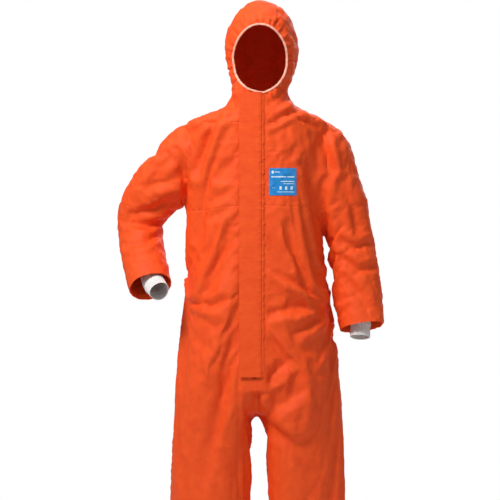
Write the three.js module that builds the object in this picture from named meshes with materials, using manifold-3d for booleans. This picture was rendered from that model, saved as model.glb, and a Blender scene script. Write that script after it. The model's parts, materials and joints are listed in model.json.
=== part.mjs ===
// A hooded protective coverall in its worn shape: right hand on the hip, left arm hanging, legs apart.
// Millimetres, +Z up, the front faces -Y, +X is the wearer's left.
// Heights are written above the floor; the last lines move the origin to the middle of the neck.
import * as THREE from "three";
import { LoftGeometry } from "three/addons/geometries/LoftGeometry.js";
import { mergeVertices } from "three/addons/utils/BufferGeometryUtils.js";
import Module from "manifold-3d";

const wasm = await Module();
wasm.setup();

// ---- Driving dimensions ----
const CLOTH = 2; // wall that stands for the nonwoven cloth and its loft
const GAP = 0.3; // gap between two pieces that are sewn together
const SIDES = 24; // corners of a body or leg section
const SLEEVE_SIDES = 16;
const CUFF_SIDES = 12;

const NECK_Z = 1500; // height of the origin, the middle of the neck
const CHIN_Z = 1548; // the hood turns back above this height
const CHEST_SEAM_Z = 1238;
const WAIST_Z = 1000;
const HEM_WIDTH = 24;
const FLAP_TOP_Z = 1533;
const FLAP_BOTTOM_Z = 780;
const CROTCH_Z = 692;
const LEG_LENGTH = 620; // from the crotch to the lower edge of the legs
const legZ = (share) => CROTCH_Z - share * LEG_LENGTH; // the share of a leg's length below the crotch
const HEM_Z = legZ(1);
const KNEE_Z = legZ(212 / 620);
const KNEE_HALF = 90; // length of soft cloth above and below a knee
const KNEE_TOP_Z = KNEE_Z + KNEE_HALF;
const KNEE_BOTTOM_Z = KNEE_Z - KNEE_HALF;
const BODY_HALF = 178; // half width at the chest seam; hips, shoulders, legs and arms keep to it

const FRONT_CHIN_Y = -112; // the front centre line is straight from the chin to the foot of the zip
const FRONT_LEAN = 0.0495; // how far that line comes forward for each millimetre down
const frontY = (z) => FRONT_CHIN_Y - (CHIN_Z - z) * FRONT_LEAN;

const NECK_SEAM = { z: 1488, rise: 0.26 }; // the seam's plane climbs from front to back
const FACE = { x: 8, z: 1629, halfWidth: 72.6, halfHeight: 92.8 };
const BINDING_RADIUS = 2.5;
const HOOD_CENTRE = { x: 10, halfWidth: 45 };

const ZIP = { x: -8, gap: 14.6, tapeWidth: 16, tape: 0.8, coilWidth: 2.6, coil: 1.3, coilGap: 2.2 };
const ZIP_BOTTOM_Z = 790;
const SLIDER = { z: 1512, length: 15, width: 9, plate: 1.2, post: 1.2 };
const PULLER = { length: 24, width: 7, thickness: 1.1, eye: 1.9, head: 0.6 };
const FLAP = { sewnX: 12, width: 60, thickness: 1.4, lift: 3.8 };
const FLAP_EDGE = 8; // stitched-down strip beside the flap
const FLAP_TAPE = { fromFreeEdge: 3, width: 12, thickness: 0.7 };
const LABEL = { x: 32, z: 1263, side: 73, thickness: 0.8 };
const ELASTIC = { width: 20, thickness: 1 };
const GUSSET = { halfWidth: 50, halfDepth: 70, below: 46, above: 45 };
const CUFF_WALL = 1.8;
const HEM_FOLD = 18; // how far inside the sleeve's hem the cuff is sewn in
const ELBOW_HALF = 78; // length of soft cloth on each side of an elbow

// Body sections: height, centre x, half width, front y, back y, then how square the back and the
// front are (2 is an ellipse).
const BODY = [
  [CROTCH_Z, 0, BODY_HALF - 28, -95, 100, 2.2],
  [720, 0, BODY_HALF + 14, -134, 126, 2.3],
  [FLAP_BOTTOM_Z, 2, BODY_HALF + 40, frontY(FLAP_BOTTOM_Z), 140, 2.4],
  [850, 3, BODY_HALF + 37, frontY(850), 146, 2.4],
  [920, 3, BODY_HALF + 29, frontY(920), 140, 2.4],
  [WAIST_Z, 0, BODY_HALF + 17, frontY(WAIST_Z), 126, 2.4],
  [1070, -1, BODY_HALF + 16, frontY(1070), 128, 2.4],
  [1150, -3, BODY_HALF + 6, frontY(1150), 130, 2.4],
  [CHEST_SEAM_Z, 0, BODY_HALF, frontY(CHEST_SEAM_Z), 132, 2.4],
  [1320, 0, BODY_HALF + 6, frontY(1320), 130, 2.3],
  [1390, 0, BODY_HALF + 14, frontY(1390), 120, 2.2],
  [1432, 0, BODY_HALF + 18, frontY(1432), 108, 2.1],
  [1462, 0, BODY_HALF + 10, frontY(1462), 98, 2, 2.3],
  [1478, 4, BODY_HALF - 20, frontY(1478), 92, 2, 2.5],
  [1493, 10, BODY_HALF - 60, frontY(1493), 88, 2, 2.8],
  [1510, 9, 88, frontY(1510), 84, 2, 3],
  [1530, 8, 77, frontY(1530), 82, 2.1, 3.2],
  [CHIN_Z, 7, 74, frontY(CHIN_Z), 85, 2.1, 3.2],
  [1582, 13, 83, -106, 106, 2.1, 2.6],
  [1625, 13, 96, -96, 126, 2.1],
  [1656, 13, 100, -98, 130, 2.1],
  [1683, 12, 98, -96, 130, 2.1],
  [1712, 11, 91, -92, 124, 2.1],
  [1740, 13, 79, -82, 110, 2.1],
  [1768, 13, 58, -58, 86, 2],
  [1784, 10, 34, -32, 58, 2],
  [1790, 9, 12, -8, 30, 2],
];

// Leg sections: height, centre x, half width, front y, back y.
const LEGS = {
  left: [
    [860, BODY_HALF / 2 + 15, BODY_HALF / 2 + 19, -136, 132],
    [FLAP_BOTTOM_Z, BODY_HALF / 2 + 19, BODY_HALF / 2 + 24, -143, 133],
    [CROTCH_Z, BODY_HALF / 2 + 26, BODY_HALF / 2 + 25, -136, 130],
    [legZ(92 / 620), BODY_HALF / 2 + 36, BODY_HALF / 2 + 17, -123, 121],
    [legZ(247 / 620), BODY_HALF / 2 + 40, 101, -113, 113],
    [legZ(442 / 620), BODY_HALF / 2 + 49, 90, -100, 104],
    [legZ(572 / 620), BODY_HALF / 2 + 56, 74, -82, 88],
    [HEM_Z, BODY_HALF / 2 + 58, 62, -70, 76],
  ],
  right: [
    [860, -BODY_HALF / 2 - 9, BODY_HALF / 2 + 19, -136, 132],
    [FLAP_BOTTOM_Z, -BODY_HALF / 2 - 17, BODY_HALF / 2 + 25, -143, 133],
    [CROTCH_Z, -BODY_HALF / 2 - 27, BODY_HALF / 2 + 29, -136, 130],
    [legZ(92 / 620), -BODY_HALF / 2 - 34, BODY_HALF / 2 + 29, -125, 123],
    [legZ(247 / 620), -BODY_HALF / 2 - 40, 113, -117, 117],
    [legZ(442 / 620), -BODY_HALF / 2 - 50, 95, -102, 106],
    [legZ(572 / 620), -BODY_HALF / 2 - 57, 75, -83, 89],
    [HEM_Z, -BODY_HALF / 2 - 59, 62, -70, 76],
  ],
};

// Sleeve sections from shoulder to hem: centre x, y, z, half width, half depth.
const SLEEVES = {
  left: {
    rings: [
      [BODY_HALF - 52, 0, 1412, 64, 62],
      [BODY_HALF - 4, 3, 1387, 77, 76],
      [BODY_HALF + 35, 10, 1288, 69, 74],
      [BODY_HALF + 61, 18, 1180, 62, 68],
      [BODY_HALF + 81, 14, 1072, 63, 64],
      [BODY_HALF + 95, 0, 990, 61, 60],
      [BODY_HALF + 105, -20, 911, 57, 56],
    ],
    elbow: 0.56,
    cuff: [
      [BODY_HALF + 102, -10, 948, 26, 26],
      [BODY_HALF + 100, -19, 916, 28, 28],
      [BODY_HALF + 98, -28, 884, 26.5, 27],
    ],
  },
  right: {
    rings: [
      [-BODY_HALF + 54, 0, 1408, 64, 62],
      [-BODY_HALF + 4, 8, 1387, 76, 76],
      [-BODY_HALF - 61, 26, 1316, 79, 76],
      [-BODY_HALF - 115, 54, 1250, 72, 68],
      [-BODY_HALF - 138, 70, 1200, 62, 62],
      [-BODY_HALF - 135, 38, 1140, 60, 57],
      [-BODY_HALF - 122, -20, 1078, 60, 56],
      [-BODY_HALF - 107, -70, 1020, 58, 54],
    ],
    elbow: 0.54,
    cuff: [
      [-BODY_HALF - 106, -46, 1046, 26, 26],
      [-BODY_HALF - 95, -82, 1026, 28, 28],
      [-BODY_HALF - 82, -112, 1008, 26.5, 27],
    ],
  },
};

// ---- Solids: three.js makes the shapes, manifold joins and cuts them ----
function welded(geometry) {
  const bare = new THREE.BufferGeometry().copy(geometry);
  bare.deleteAttribute("normal");
  bare.deleteAttribute("uv");
  return mergeVertices(bare, 1e-3);
}

function solid(geometry) {
  const g = welded(geometry);
  return new wasm.Manifold(
    new wasm.Mesh({
      numProp: 3,
      vertProperties: new Float32Array(g.attributes.position.array),
      triVerts: new Uint32Array(g.index.array),
    }),
  );
}

// The largest single piece of a solid, without the crumbs that a cut can leave.
function largest(manifold) {
  const parts = manifold.decompose();
  return parts.reduce((a, b) => (b.volume() > a.volume() ? b : a));
}

function geometryOf(manifold) {
  const mesh = largest(manifold).getMesh();
  return new THREE.BufferGeometry()
    .setAttribute("position", new THREE.BufferAttribute(mesh.vertProperties, 3))
    .setIndex(new THREE.BufferAttribute(mesh.triVerts, 1));
}

// A closed loft moved out along its own normals, or in where the distance is negative.
function swollen(geometry, distance) {
  const g = welded(geometry);
  g.computeVertexNormals();
  const p = g.attributes.position;
  const n = g.attributes.normal;
  for (let i = 0; i < p.count; i++) {
    p.setXYZ(i, p.getX(i) + n.getX(i) * distance, p.getY(i) + n.getY(i) * distance, p.getZ(i) + n.getZ(i) * distance);
  }
  return solid(g);
}

function boxSolid(x0, x1, y0, y1, z0, z1) {
  const g = new THREE.BoxGeometry(x1 - x0, y1 - y0, z1 - z0);
  return solid(g.translate((x0 + x1) / 2, (y0 + y1) / 2, (z0 + z1) / 2));
}

// Everything on the side of a plane that its normal points to, as far as a garment reaches.
const REACH = 560;
function beyond(point, normal, shift = 0) {
  const g = new THREE.BoxGeometry(REACH, REACH, REACH);
  g.translate(0, 0, REACH / 2 + shift);
  g.applyQuaternion(new THREE.Quaternion().setFromUnitVectors(new THREE.Vector3(0, 0, 1), normal));
  return solid(g.translate(point.x, point.y, point.z));
}

// ---- Lofted outer shapes ----
const power = (v, n) => Math.sign(v) * Math.abs(v) ** (2 / n);

// The front half is pressed flat where it would pass the front line.
const FLATTEN = 1.04;
function levelRing([z, x, halfWidth, front, back, n = 2.1, frontN = n]) {
  const middle = (front + back) / 2;
  return Array.from({ length: SIDES }, (_, i) => {
    const t = (2 * Math.PI * i) / SIDES;
    const ahead = Math.sin(t) < 0;
    const square = ahead ? frontN : n;
    const y = middle + (back - middle) * power(Math.sin(t), square) * (ahead ? FLATTEN : 1);
    return new THREE.Vector3(x + halfWidth * power(Math.cos(t), square), Math.max(y, front), z);
  });
}

function levelLoft(stations) {
  return new LoftGeometry(stations.map(levelRing), { capStart: true, capEnd: true });
}

const centreline = (rings) =>
  new THREE.CatmullRomCurve3(rings.map(([x, y, z]) => new THREE.Vector3(x, y, z)));

// Sections stand square to the line through their centres.
function limbLoft(rings, sides) {
  const line = centreline(rings);
  const sections = rings.map(([x, y, z, halfWidth, halfDepth], k) => {
    const along = line.getTangent(k / (rings.length - 1));
    const across = new THREE.Vector3(0, 1, 0).cross(along).normalize();
    const deep = new THREE.Vector3().crossVectors(along, across);
    return Array.from({ length: sides }, (_, i) => {
      const t = (2 * Math.PI * i) / sides;
      return new THREE.Vector3(x, y, z)
        .addScaledVector(across, halfWidth * Math.cos(t))
        .addScaledVector(deep, halfDepth * Math.sin(t));
    });
  });
  return new LoftGeometry(sections, { capStart: true, capEnd: true });
}

const sides = { left: 1, right: -1 };

const bodyLoft = levelLoft(BODY);
function legLoft(side, run = 0) {
  const [z, ...rest] = LEGS[side].at(-1);
  const open = run ? [[z - run, ...rest]] : [];
  return levelLoft([...LEGS[side], ...open].reverse());
}

// The trunk with both legs; an inward distance also runs out through the hems.
function trunkAndLegs(distance) {
  const run = distance < 0 ? HEM_WIDTH : 0;
  return swollen(bodyLoft, distance)
    .add(swollen(legLoft("left", run), distance))
    .add(swollen(legLoft("right", run), distance));
}

const layer = (outer, inner) => trunkAndLegs(outer).subtract(trunkAndLegs(inner));
const FAR = 700; // beyond the suit on every side

// ---- Sleeves and cuffs ----
// A section like the first or the last one, moved out past that end.
function further(rings, end) {
  const [x, y, z, ...size] = rings.at(end);
  const next = rings.at(end === 0 ? 1 : -2);
  const at = new THREE.Vector3(x, y, z);
  const way = at.clone().sub(new THREE.Vector3(...next.slice(0, 3))).normalize();
  return [...at.addScaledVector(way, HEM_WIDTH).toArray(), ...size];
}

const clearOfBody = trunkAndLegs(GAP);
const sleeveOuter = {};
const sleeves = {};
for (const side of Object.keys(sides)) {
  const { rings, cuff, elbow } = SLEEVES[side];
  const loft = limbLoft(rings, SLEEVE_SIDES);
  const cuffLoft = limbLoft(cuff, CUFF_SIDES);
  const cuffHole = swollen(cuffLoft, GAP);
  const line = centreline(rings);
  const hemWay = line.getTangent(1);
  const fold = line.getPoint(1).addScaledVector(hemWay, -HEM_FOLD);
  const foldWall = beyond(fold, hemWay, -CLOTH).subtract(beyond(fold, hemWay));
  const hollow = swollen(limbLoft([...rings, further(rings, -1)], SLEEVE_SIDES), -CLOTH).subtract(foldWall);
  const wall = solid(loft).subtract(hollow).subtract(cuffHole).subtract(clearOfBody);
  const at = elbow * line.getLength();
  const before = (at - ELBOW_HALF) / line.getLength();
  const after = (at + ELBOW_HALF) / line.getLength();
  const top = [line.getPointAt(before), line.getTangentAt(before)];
  const foot = [line.getPointAt(after), line.getTangentAt(after)];
  sleeveOuter[side] = swollen(loft, GAP);
  sleeves[side] = {
    upper: wall.subtract(beyond(...top, -GAP / 2)),
    elbow: wall.intersect(beyond(...top, GAP / 2)).subtract(beyond(...foot, -GAP / 2)),
    lower: wall.intersect(beyond(...foot, GAP / 2)),
    cuff: solid(cuffLoft).subtract(
      swollen(limbLoft([further(cuff, 0), ...cuff, further(cuff, -1)], CUFF_SIDES), -CUFF_WALL),
    ),
  };
}

// ---- Body panels, cut from one wall along the seams ----
const HALF_GAP = GAP / 2;
const neckUp = new THREE.Vector3(0, -NECK_SEAM.rise, 1).normalize();
const neckPoint = new THREE.Vector3(0, 0, NECK_SEAM.z);
const aboveNeckSeam = (shift) => beyond(neckPoint, neckUp, shift);

const wall = layer(0, -CLOTH).subtract(sleeveOuter.left).subtract(sleeveOuter.right);
const zipSlot = boxSolid(ZIP.x - ZIP.gap / 2, ZIP.x + ZIP.gap / 2, -FAR, 0, ZIP_BOTTOM_Z - 12, CHIN_Z + 40);
const faceHole = solid(
  new THREE.CylinderGeometry(1, 1, 300, 40)
    .scale(FACE.halfWidth, 1, FACE.halfHeight)
    .translate(FACE.x, -150, FACE.z),
);
const openWall = wall.subtract(zipSlot).subtract(faceHole);

const band = (z0, z1) => boxSolid(-FAR, FAR, -FAR, FAR, z0 + HALF_GAP, z1 - HALF_GAP);
const front = boxSolid(-FAR, FAR, -FAR, -HALF_GAP, -FAR, 2000);
const back = boxSolid(-FAR, FAR, HALF_GAP, FAR, -FAR, 2000);

// Left or right of the centre: the zip's line above the crotch, the middle below it.
function half(side, centreX = ZIP.x) {
  const s = sides[side];
  const place = (x, z0, z1) =>
    s > 0 ? boxSolid(x + HALF_GAP, FAR, -FAR, FAR, z0, z1) : boxSolid(-FAR, x - HALF_GAP, -FAR, FAR, z0, z1);
  const split = CROTCH_Z + GUSSET.above;
  return place(centreX, split, 2000).add(place(0, -FAR, split));
}

const gussetBox = (grow) =>
  boxSolid(
    -GUSSET.halfWidth - grow,
    GUSSET.halfWidth + grow,
    -GUSSET.halfDepth - grow,
    GUSSET.halfDepth + grow,
    CROTCH_Z - GUSSET.below - grow,
    CROTCH_Z + GUSSET.above + grow,
  );
const bodyWall = openWall.subtract(aboveNeckSeam(-HALF_GAP));
const pelvisWall = bodyWall.subtract(gussetBox(HALF_GAP));
const neckWall = openWall.intersect(aboveNeckSeam(HALF_GAP)).intersect(band(CHEST_SEAM_Z, CHIN_Z));
const hoodWall = openWall.intersect(band(CHIN_Z, 2000));
const strip = (x0, x1) => boxSolid(x0, x1, -FAR, FAR, 0, 2000);
const hoodEdge = (s) => HOOD_CENTRE.x + s * HOOD_CENTRE.halfWidth;

const panels = {
  hood_centre: hoodWall
    .intersect(strip(hoodEdge(-1) + HALF_GAP, hoodEdge(1) - HALF_GAP)),
  back_upper: bodyWall.intersect(back).intersect(band(WAIST_Z, 2000)),
  crotch_gusset: bodyWall.intersect(gussetBox(-HALF_GAP)),
};
for (const side of Object.keys(sides)) {
  const s = sides[side];
  const here = half(side);
  const edge = hoodEdge(s) + s * HALF_GAP;
  panels[`hood_side_${side}`] = hoodWall.intersect(s > 0 ? strip(edge, FAR) : strip(-FAR, edge));
  panels[`hood_neck_${side}`] = neckWall.intersect(here);
  panels[`front_yoke_${side}`] = bodyWall.intersect(front).intersect(here).intersect(band(CHEST_SEAM_Z, 2000));
  panels[`front_body_${side}`] = pelvisWall
    .intersect(front)
    .intersect(here)
    .intersect(band(KNEE_TOP_Z, CHEST_SEAM_Z));
  panels[`back_lower_${side}`] = pelvisWall
    .intersect(back)
    .intersect(half(side, 0))
    .intersect(band(KNEE_TOP_Z, WAIST_Z));
  const leg = bodyWall.intersect(half(side, 0));
  panels[`leg_knee_${side}`] = leg.intersect(band(KNEE_BOTTOM_Z, KNEE_TOP_Z));
  panels[`leg_lower_front_${side}`] = leg.intersect(front).intersect(band(HEM_Z + HEM_WIDTH, KNEE_BOTTOM_Z));
  panels[`leg_lower_back_${side}`] = leg.intersect(back).intersect(band(HEM_Z + HEM_WIDTH, KNEE_BOTTOM_Z));
  panels[`ankle_hem_${side}`] = leg.intersect(band(-FAR, HEM_Z + HEM_WIDTH));
}

// ---- Elastics and label, which follow the cloth ----
const elasticLayer = layer(-CLOTH - GAP, -CLOTH - GAP - ELASTIC.thickness);
const hemMiddle = HEM_Z + HEM_WIDTH / 2;
const trims = {
  waist_elastic: elasticLayer
    .intersect(band(WAIST_Z - ELASTIC.width / 2, WAIST_Z + ELASTIC.width / 2))
    .intersect(boxSolid(-FAR, FAR, 30, FAR, 0, 2000)),
};
for (const side of Object.keys(sides)) {
  trims[`ankle_elastic_${side}`] = elasticLayer
    .intersect(band(hemMiddle - ELASTIC.width / 2 + 2, hemMiddle + ELASTIC.width / 2 - 2))
    .intersect(half(side, 0));
}
const label = layer(GAP + LABEL.thickness, GAP).intersect(
  boxSolid(LABEL.x, LABEL.x + LABEL.side, -FAR, 0, LABEL.z, LABEL.z + LABEL.side),
);

// The binding runs inside the face opening's edge, over the hood's front surface.
function hoodFrontY(x, z) {
  const above = BODY.findIndex(([level]) => level > z);
  const [z0, x0, w0, f0, b0] = BODY[above - 1];
  const [z1, x1, w1, f1, b1] = BODY[above];
  const t = (z - z0) / (z1 - z0);
  const mix = (a, b) => a + (b - a) * t;
  const reach = Math.min(1, Math.abs(x - mix(x0, x1)) / mix(w0, w1));
  const middle = (mix(f0, f1) + mix(b0, b1)) / 2;
  return middle - (middle - mix(f0, f1)) * Math.sqrt(1 - reach * reach);
}
const bindingLine = new THREE.CatmullRomCurve3(
  Array.from({ length: 24 }, (_, i) => {
    const t = (2 * Math.PI * i) / 24;
    const inset = BINDING_RADIUS + 2 * GAP;
    const x = FACE.x + (FACE.halfWidth - inset) * Math.cos(t);
    const z = FACE.z + (FACE.halfHeight - inset) * Math.sin(t);
    return new THREE.Vector3(x, hoodFrontY(x, z) + CLOTH / 2, z);
  }),
  true,
);

// ---- Zip and storm flap, drawn on the front's leaning line ----
// In this group z runs up along the zip from its foot, and -y points away from the wearer.
const closure = new THREE.Group();
const lean = Math.atan(FRONT_LEAN);
closure.position.set(0, frontY(ZIP_BOTTOM_Z), ZIP_BOTTOM_Z);
closure.rotation.x = -lean;
const along = (z) => (z - ZIP_BOTTOM_Z) / Math.cos(lean);

function slab(x0, x1, y0, y1, z0, z1) {
  return new THREE.BoxGeometry(x1 - x0, y1 - y0, z1 - z0).translate((x0 + x1) / 2, (y0 + y1) / 2, (z0 + z1) / 2);
}

const zipTop = along(FLAP_TOP_Z) - 4;
const tapeFront = CLOTH + GAP;
const coilBack = tapeFront - GAP;
const coilFront = coilBack - ZIP.coil;
const sliderTop = coilFront - GAP - SLIDER.plate;
const pullerBack = sliderTop - GAP;
const studFront = pullerBack - PULLER.thickness - GAP - PULLER.head;
const sliderAt = along(SLIDER.z);

function zipCoil(side) {
  const s = sides[side];
  const inner = ZIP.x + s * (ZIP.coilGap / 2);
  const outer = inner + s * ZIP.coilWidth;
  return slab(Math.min(inner, outer), Math.max(inner, outer), coilFront, coilBack, 0, zipTop - 6);
}

// Front and rear plates joined by a post between the two rows of the coil, with a stud for the puller.
function zipSlider() {
  const { width, length, plate, post } = SLIDER;
  const x = ZIP.x;
  const rear = tapeFront + ZIP.tape + GAP;
  const z0 = -length / 2;
  const z1 = length / 2;
  const stud = (radius, y0, y1) =>
    new THREE.CylinderGeometry(radius, radius, y1 - y0, 14).translate(x, (y0 + y1) / 2, 0);
  return [
    slab(x - width / 2, x + width / 2, sliderTop, sliderTop + plate, z0, z1),
    slab(x - width / 2, x + width / 2, rear, rear + plate, z0, z1),
    slab(x - post / 2, x + post / 2, sliderTop, rear + plate, z0 + 4, z1),
    stud(PULLER.eye - GAP, studFront, sliderTop + plate / 2),
    stud(PULLER.eye + 0.7, studFront, studFront + PULLER.head),
  ]
    .map(solid)
    .reduce((a, b) => a.add(b));
}

// A tab with an eye that hangs on the slider's stud.
function zipPuller() {
  const { length, width, thickness, eye } = PULLER;
  const outline = new THREE.Shape();
  outline.moveTo(-width / 2, 0);
  outline.absarc(0, 0, width / 2, Math.PI, 0, true);
  outline.absarc(0, -length + width / 2 - 1, width / 2 - 1, 0, -Math.PI, true);
  outline.closePath();
  const hole = new THREE.Path();
  hole.absarc(0, 0, eye, 0, 2 * Math.PI, false);
  outline.holes.push(hole);
  const g = new THREE.ExtrudeGeometry(outline, { depth: thickness, bevelEnabled: false, curveSegments: 8 });
  return g.rotateX(Math.PI / 2).translate(ZIP.x, pullerBack, 0);
}

const freeEdge = FLAP.sewnX - FLAP.width;

// Cloth-like pieces of the closure follow the body at a distance in front of it or behind it.
function facing(x0, x1, z0, z1, outer, inner) {
  return layer(outer, inner).intersect(boxSolid(x0, x1, -FAR, -20, z0, z1));
}
const flapOuter = FLAP.lift + FLAP.thickness;
const closures = {
  storm_flap: facing(freeEdge, FLAP.sewnX - GAP, FLAP_BOTTOM_Z, FLAP_TOP_Z, flapOuter, FLAP.lift),
  flap_stitched_edge: facing(
    FLAP.sewnX + GAP,
    FLAP.sewnX + GAP + FLAP_EDGE,
    FLAP_BOTTOM_Z,
    FLAP_TOP_Z,
    flapOuter,
    GAP,
  ),
  flap_tape: facing(
    freeEdge + FLAP_TAPE.fromFreeEdge,
    freeEdge + FLAP_TAPE.fromFreeEdge + FLAP_TAPE.width,
    FLAP_BOTTOM_Z + 10,
    FLAP_TOP_Z - 10,
    FLAP.lift - GAP,
    FLAP.lift - GAP - FLAP_TAPE.thickness,
  ),
};
for (const side of Object.keys(sides)) {
  const inner = ZIP.x + sides[side] * (ZIP.coilGap / 2);
  const outer = inner + sides[side] * ZIP.tapeWidth;
  closures[`zip_tape_${side}`] = facing(
    Math.min(inner, outer),
    Math.max(inner, outer),
    ZIP_BOTTOM_Z - 10,
    FLAP_TOP_Z - 4,
    -tapeFront,
    -tapeFront - ZIP.tape,
  );
}

// ---- Materials ----
function finish(color, roughness) {
  return new THREE.MeshStandardMaterial({ color, roughness, metalness: 0 });
}
const cloth = finish(0xee4a1c, 0.62);
const bindingCloth = finish(0xf79a80, 0.6);
const knit = finish(0xf1efee, 0.95);
const elastic = finish(0xe9e4dc, 0.9);
const zipCloth = finish(0xe2481f, 0.8);
const nylon = finish(0xd9401a, 0.45);
const paint = finish(0xd7421c, 0.35);
const glue = finish(0xe8e2d0, 0.5);
const printed = finish(0x1e93dc, 0.4);

// ---- Assembly ----
const suit = new THREE.Group();
const worn = new THREE.Group();
worn.position.z = -NECK_Z;
suit.add(worn);
worn.add(closure);

function place(name, geometry, material, parent = worn) {
  const mesh = new THREE.Mesh(geometry, material);
  mesh.name = name;
  parent.add(mesh);
  return mesh;
}

for (const [name, piece] of Object.entries(panels)) place(name, geometryOf(piece), cloth);
for (const [name, piece] of Object.entries(trims)) place(name, geometryOf(piece), elastic);
for (const side of Object.keys(sides)) {
  place(`sleeve_upper_${side}`, geometryOf(sleeves[side].upper), cloth);
  place(`sleeve_elbow_${side}`, geometryOf(sleeves[side].elbow), cloth);
  place(`sleeve_lower_${side}`, geometryOf(sleeves[side].lower), cloth);
  place(`cuff_${side}`, geometryOf(sleeves[side].cuff), knit);
  place(`zip_tape_${side}`, geometryOf(closures[`zip_tape_${side}`]), zipCloth);
  place(`zip_coil_${side}`, zipCoil(side), nylon, closure);
  const stop = sides[side] * (ZIP.coilGap / 2 + ZIP.coilWidth / 2);
  const topStop = slab(-1.2, 1.2, coilFront, coilBack, -2, 2).translate(ZIP.x + stop, 0, zipTop - 6 + 2 + GAP);
  place(`zip_top_stop_${side}`, topStop, nylon, closure);
}
place("chest_label", geometryOf(label), printed);
place("face_binding", new THREE.TubeGeometry(bindingLine, 44, BINDING_RADIUS, 6, true), bindingCloth);
const stopWidth = ZIP.coilGap / 2 + ZIP.coilWidth;
place(
  "zip_bottom_stop",
  slab(ZIP.x - stopWidth, ZIP.x + stopWidth, coilFront, coilBack, -5 - GAP, -GAP),
  nylon,
  closure,
);
place("zip_slider", geometryOf(zipSlider()), paint, closure).position.z = sliderAt;
place("zip_puller", zipPuller(), paint, closure).position.z = sliderAt;
place("storm_flap", geometryOf(closures.storm_flap), cloth);
place("flap_stitched_edge", geometryOf(closures.flap_stitched_edge), cloth);
place("flap_tape", geometryOf(closures.flap_tape), glue);

export default suit;
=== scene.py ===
import json
import math

import bmesh
import bpy
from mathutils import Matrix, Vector, noise
from mathutils.bvhtree import BVHTree
from mathutils.kdtree import KDTree

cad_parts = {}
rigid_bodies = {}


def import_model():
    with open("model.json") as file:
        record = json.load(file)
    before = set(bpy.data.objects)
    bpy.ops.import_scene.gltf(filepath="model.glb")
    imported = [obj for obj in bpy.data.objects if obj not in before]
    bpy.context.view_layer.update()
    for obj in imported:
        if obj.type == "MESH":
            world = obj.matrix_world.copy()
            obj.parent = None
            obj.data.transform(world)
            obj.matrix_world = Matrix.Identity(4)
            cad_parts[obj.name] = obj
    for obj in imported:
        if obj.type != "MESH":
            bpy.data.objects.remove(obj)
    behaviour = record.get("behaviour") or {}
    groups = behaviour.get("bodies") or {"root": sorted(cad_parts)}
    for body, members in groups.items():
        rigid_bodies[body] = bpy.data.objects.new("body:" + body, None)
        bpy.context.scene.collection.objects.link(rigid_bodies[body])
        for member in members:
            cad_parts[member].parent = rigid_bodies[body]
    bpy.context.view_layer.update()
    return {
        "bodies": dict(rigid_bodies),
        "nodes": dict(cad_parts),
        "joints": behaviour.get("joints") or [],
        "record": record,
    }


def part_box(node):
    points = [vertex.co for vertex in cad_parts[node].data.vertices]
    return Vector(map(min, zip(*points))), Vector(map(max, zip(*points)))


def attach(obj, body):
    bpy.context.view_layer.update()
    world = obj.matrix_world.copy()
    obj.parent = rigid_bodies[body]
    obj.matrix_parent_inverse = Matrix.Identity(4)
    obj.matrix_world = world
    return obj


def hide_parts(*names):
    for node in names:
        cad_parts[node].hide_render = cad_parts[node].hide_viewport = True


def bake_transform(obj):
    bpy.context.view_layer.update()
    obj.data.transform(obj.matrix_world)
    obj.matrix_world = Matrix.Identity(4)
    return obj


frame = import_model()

# A hooded protective coverall. Metres; the origin is the middle of the neck, 1.5 m above the floor.
FLOOR = -1.5


def above_floor(x, y, z):
    return Vector((x, y, z + FLOOR))


# ---------------------------------------------------------------- shape of the worn suit
LEAN = 0.0495
CHIN = 1.548
HEM = 0.072
CHEST_SEAM = 1.238
WAIST = 1.0
FACE_CENTRE = (0.008, 1.629)
FACE_HALF = (0.0726, 0.0928)
ZIP_X = -0.008
SLOT = 0.0073
FLAP_SEWN_X = 0.012
FLAP_WIDTH = 0.060
FLAP_TOP, FLAP_FOOT = 1.533, 0.780
LABEL = (0.032, 1.263, 0.073)  # its inner edge, foot and side


def front_line(z):
    return -0.112 - (CHIN - z) * LEAN


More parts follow.
